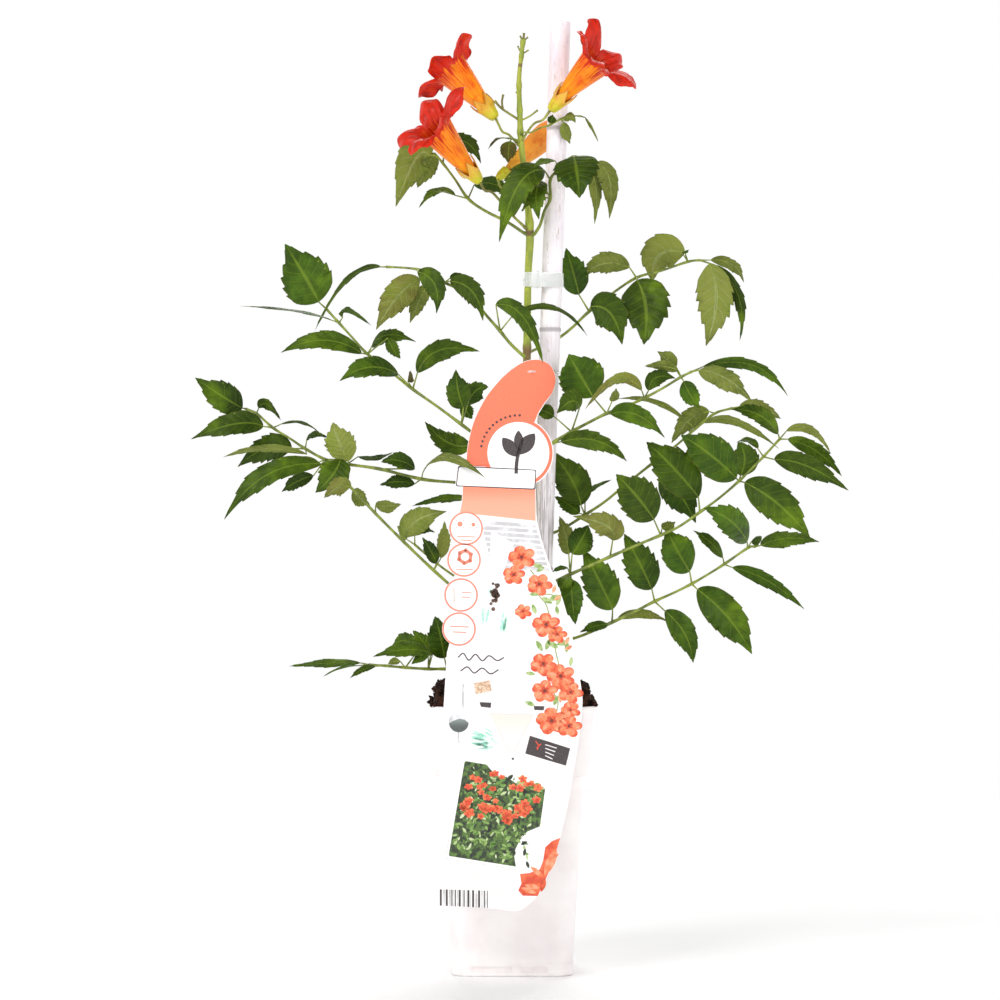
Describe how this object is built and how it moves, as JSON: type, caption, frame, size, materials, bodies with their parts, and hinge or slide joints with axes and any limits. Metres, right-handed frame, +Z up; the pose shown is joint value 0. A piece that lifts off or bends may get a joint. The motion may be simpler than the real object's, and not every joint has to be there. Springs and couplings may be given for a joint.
{
  "type": "potted trumpet vine",
  "caption": "Climbing vine with pinnate leaves and trumpet flowers, tied to a cane in a tall square nursery pot with a hanging card label.",
  "frame": {"origin": "centre of the pot's flat underside, which is the mount named base", "axes": "+Z up along the pot's height and the cane, the longest way; -Y is the side that the picture shows, with the label; +X is to the picture's right"},
  "size_m": [0.4838, 0.1515, 0.7005],
  "materials": {
    "pot_plastic": "white moulded nursery pot plastic, smooth, low sheen",
    "potting_soil": "coarse damp dark brown potting soil with bark crumbs, matt",
    "whitewashed_bamboo": "bamboo cane with a worn lilac white wash, matt",
    "stem_green": "yellow-green live stem with brown patches, satin",
    "clear_plastic": "translucent milky plant clip and tie, satin",
    "printed_card": "coated card printed in coral, white and green, semi-gloss",
    "bud_orange": "waxy orange petal, satin",
    "petal_red": "waxy red petal lobes on an orange tube, satin",
    "calyx_yellow_green": "fleshy yellow-green calyx, satin",
    "leaf_green": "thin glossy dark green leaflets with paler veins and under sides"
  },
  "bodies": {
    "root": {"pot": "pot_plastic", "soil": "potting_soil", "cane": "whitewashed_bamboo", "main_stem": "stem_green", "stem_clip": "clear_plastic", "label_tie": "clear_plastic", "label_card": "printed_card", "bud_right": "bud_orange", "corolla_high_left": "petal_red", "corolla_low_left": "petal_red", "corolla_right": "petal_red", "calyx_bud": "calyx_yellow_green", "calyx_high_left": "calyx_yellow_green", "calyx_low_left": "calyx_yellow_green", "calyx_right": "calyx_yellow_green", "frond_crown_left": "leaf_green", "frond_crown_right": "leaf_green", "frond_left_bottom": "leaf_green", "frond_left_high": "leaf_green", "frond_left_long": "leaf_green", "frond_left_low": "leaf_green", "frond_left_low_back": "leaf_green", "frond_left_mid": "leaf_green", "frond_right_back": "leaf_green", "frond_right_bottom": "leaf_green", "frond_right_high": "leaf_green", "frond_right_long": "leaf_green", "frond_right_mid": "leaf_green", "shoot_young_left": "leaf_green", "shoot_young_right": "leaf_green"}
  },
  "joints": []
}
